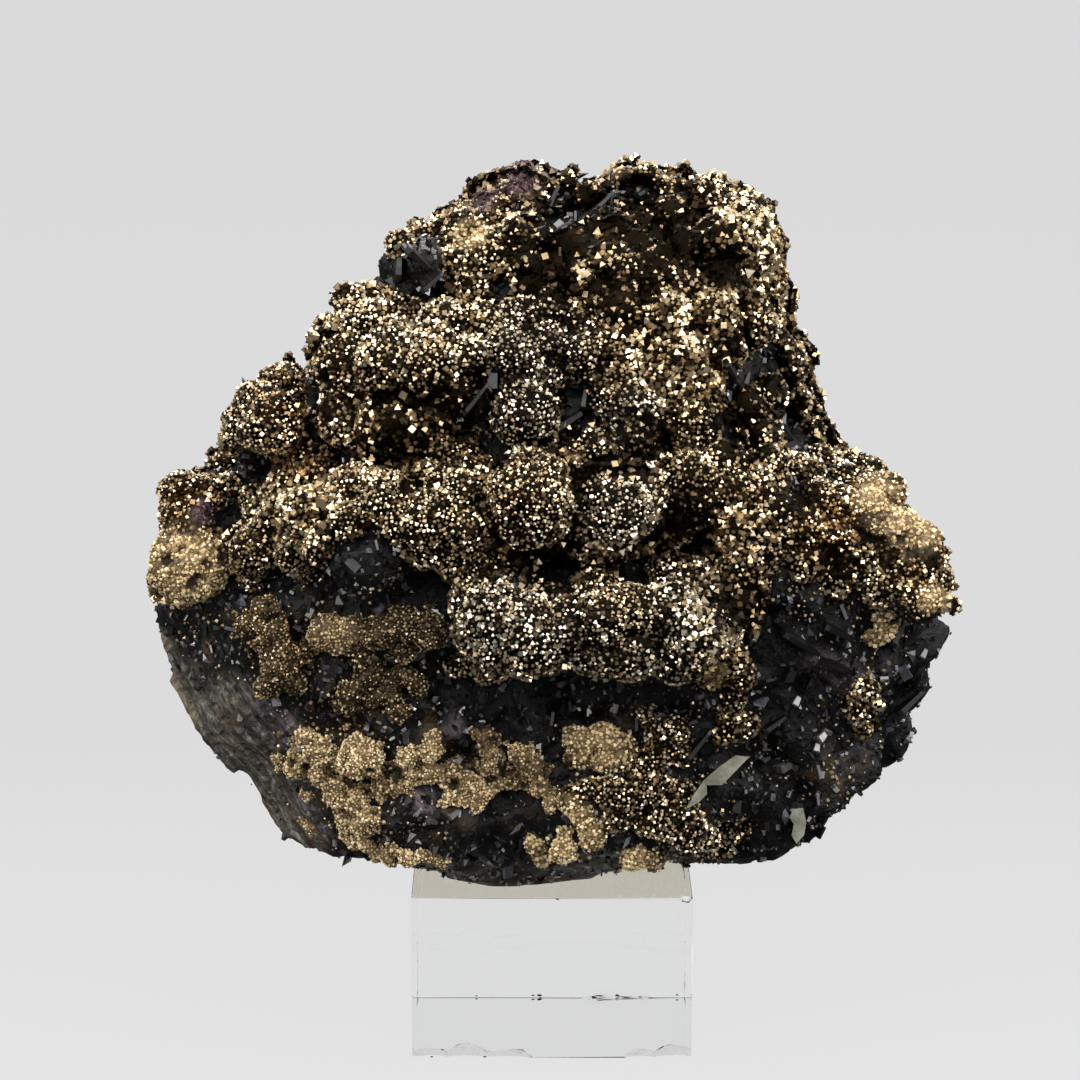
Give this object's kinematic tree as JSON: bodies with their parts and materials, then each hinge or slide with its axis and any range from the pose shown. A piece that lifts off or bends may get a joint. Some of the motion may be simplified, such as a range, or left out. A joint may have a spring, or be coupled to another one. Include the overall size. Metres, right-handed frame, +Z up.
{
  "type": "pyrite specimen",
  "caption": "Pyrite druse of small gold crystals over dark host rock, with ochre patches, broken faces and dark blade crystals, resting on a clear acrylic display block.",
  "frame": {"origin": "middle of the display block's underside, where it stands on a surface", "axes": "+Z up through the block and the specimen, -Y towards the side seen in the picture, +X to the right as seen there"},
  "size_m": [0.1458, 0.103, 0.1579],
  "materials": {
    "pyrite": "small glittering crystal faces, pale gold with dark brown shade",
    "ochre_pyrite": "fine grained and mostly matte ochre with gold glints",
    "dark_rock": "near black, uneven, with a dull grey-brown broken face at the lower left",
    "pale_crystal": "pale grey-green, slightly waxy",
    "clear_acrylic": "polished clear, with chipped lower edges"
  },
  "bodies": {
    "root": {"acrylic_block": "clear_acrylic", "matrix_rock": "dark_rock", "pyrite_crust": "pyrite", "pyrite_crust_2": "pyrite", "pyrite_crust_3": "pyrite", "pyrite_crust_4": "pyrite", "pyrite_basin": "ochre_pyrite", "pyrite_lace": "ochre_pyrite", "pyrite_foot": "pyrite", "pyrite_knob": "pyrite", "pyrite_knob_2": "pyrite", "ochre_knob": "ochre_pyrite", "pyrite_back": "pyrite", "pyrite_low_back": "pyrite", "pale_crystal_leaf": "pale_crystal", "pale_crystal_spike": "pale_crystal"}
  },
  "joints": []
}
